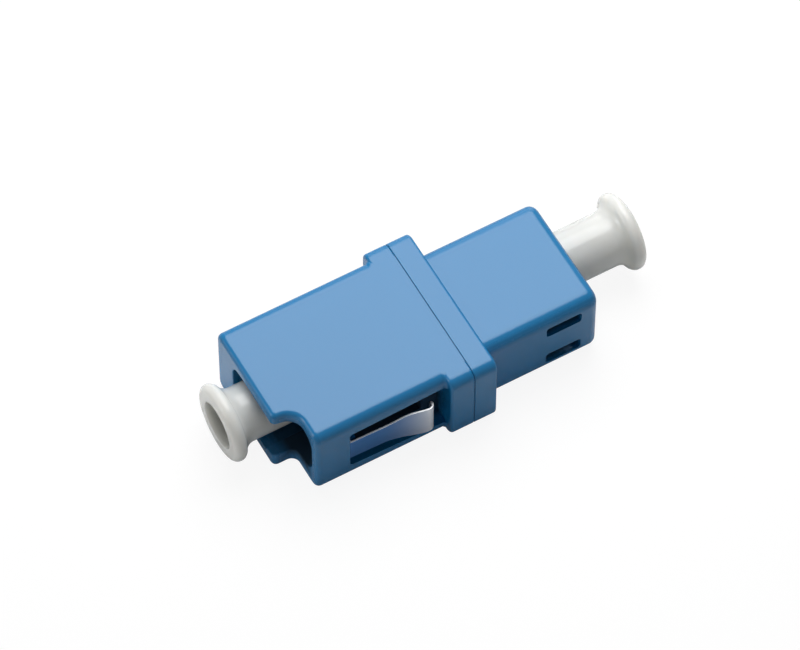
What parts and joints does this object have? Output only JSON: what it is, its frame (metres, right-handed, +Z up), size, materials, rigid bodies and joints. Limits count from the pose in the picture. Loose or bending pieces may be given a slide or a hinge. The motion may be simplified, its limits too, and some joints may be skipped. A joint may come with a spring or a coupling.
{
  "type": "simplex fibre optic adapter",
  "caption": "Flanged fibre optic adapter that joins two plugs end to end, with leaf springs for a panel and a dust cap in each port.",
  "frame": {"origin": "on the fibre axis at the middle of the split sleeve, in the seam plane of the flange, where the two fibres meet", "axes": "+X along the fibre towards the short half, -Y towards the plugs' latches, +Z up from the broad face it lies on"},
  "size_m": [0.0344, 0.0133, 0.007],
  "materials": {
    "blue_plastic": "fine satin moulded",
    "white_plastic": "soft gloss moulded",
    "spring_steel": "bright rolled",
    "ceramic": "polished zirconia"
  },
  "bodies": {
    "housing": {"near_housing": "blue_plastic", "far_housing": "blue_plastic", "split_sleeve": "ceramic"},
    "latch_side_leaf": {"latch_side_leaf_spring": "spring_steel"},
    "back_side_leaf": {"back_side_leaf_spring": "spring_steel"},
    "near_cap": {"near_dust_cap": "white_plastic"},
    "far_cap": {"far_dust_cap": "white_plastic"}
  },
  "joints": [
    {"name": "near_cap_pull", "type": "slide", "parent": "housing", "child": "near_cap", "axis": [-1, 0, 0], "range_m": [0, 0.014]},
    {"name": "far_cap_pull", "type": "slide", "parent": "housing", "child": "far_cap", "axis": [1, 0, 0], "range_m": [0, 0.011]},
    {"name": "latch_side_leaf_press", "type": "hinge", "parent": "housing", "child": "latch_side_leaf", "pos_m": [-0.00976, -0.00658, 0], "axis": [0, 0, 1], "range_deg": [0, 5.5], "stiffness_Nm_per_rad": 0.1},
    {"name": "back_side_leaf_press", "type": "hinge", "parent": "housing", "child": "back_side_leaf", "pos_m": [-0.00976, 0.00514, 0], "axis": [0, 0, -1], "range_deg": [0, 5.5], "stiffness_Nm_per_rad": 0.1}
  ]
}
